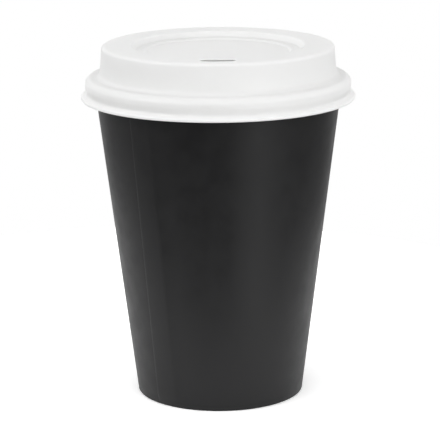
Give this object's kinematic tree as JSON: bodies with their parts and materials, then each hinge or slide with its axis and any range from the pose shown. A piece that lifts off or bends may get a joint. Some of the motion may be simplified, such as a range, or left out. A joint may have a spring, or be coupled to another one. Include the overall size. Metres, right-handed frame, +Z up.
{
  "type": "paper coffee cup",
  "caption": "Tapered paper cup for hot drinks with a rolled rim, a lapped side seam, a recessed bottom and a moulded lift-off lid with a sip slot.",
  "frame": {"origin": "middle of the foot, on the surface that the cup stands on", "axes": "+Z up through the lid; -Y is the front, where the lid's sip slot is; +X is the viewer's right"},
  "size_m": [0.0944, 0.0944, 0.1223],
  "materials": {
    "black_board": "satin coated board, black outside, white inside",
    "white_board": "uncoated white board below, film-coated above",
    "lid_plastic": "satin"
  },
  "bodies": {
    "cup": {"side_wall": "black_board", "bottom_disc": "white_board"},
    "lid": {"lid": "lid_plastic"}
  },
  "joints": [
    {"name": "lid_lift", "type": "slide", "parent": "cup", "child": "lid", "axis": [0, 0, 1], "range_m": [0, 0.04]}
  ]
}
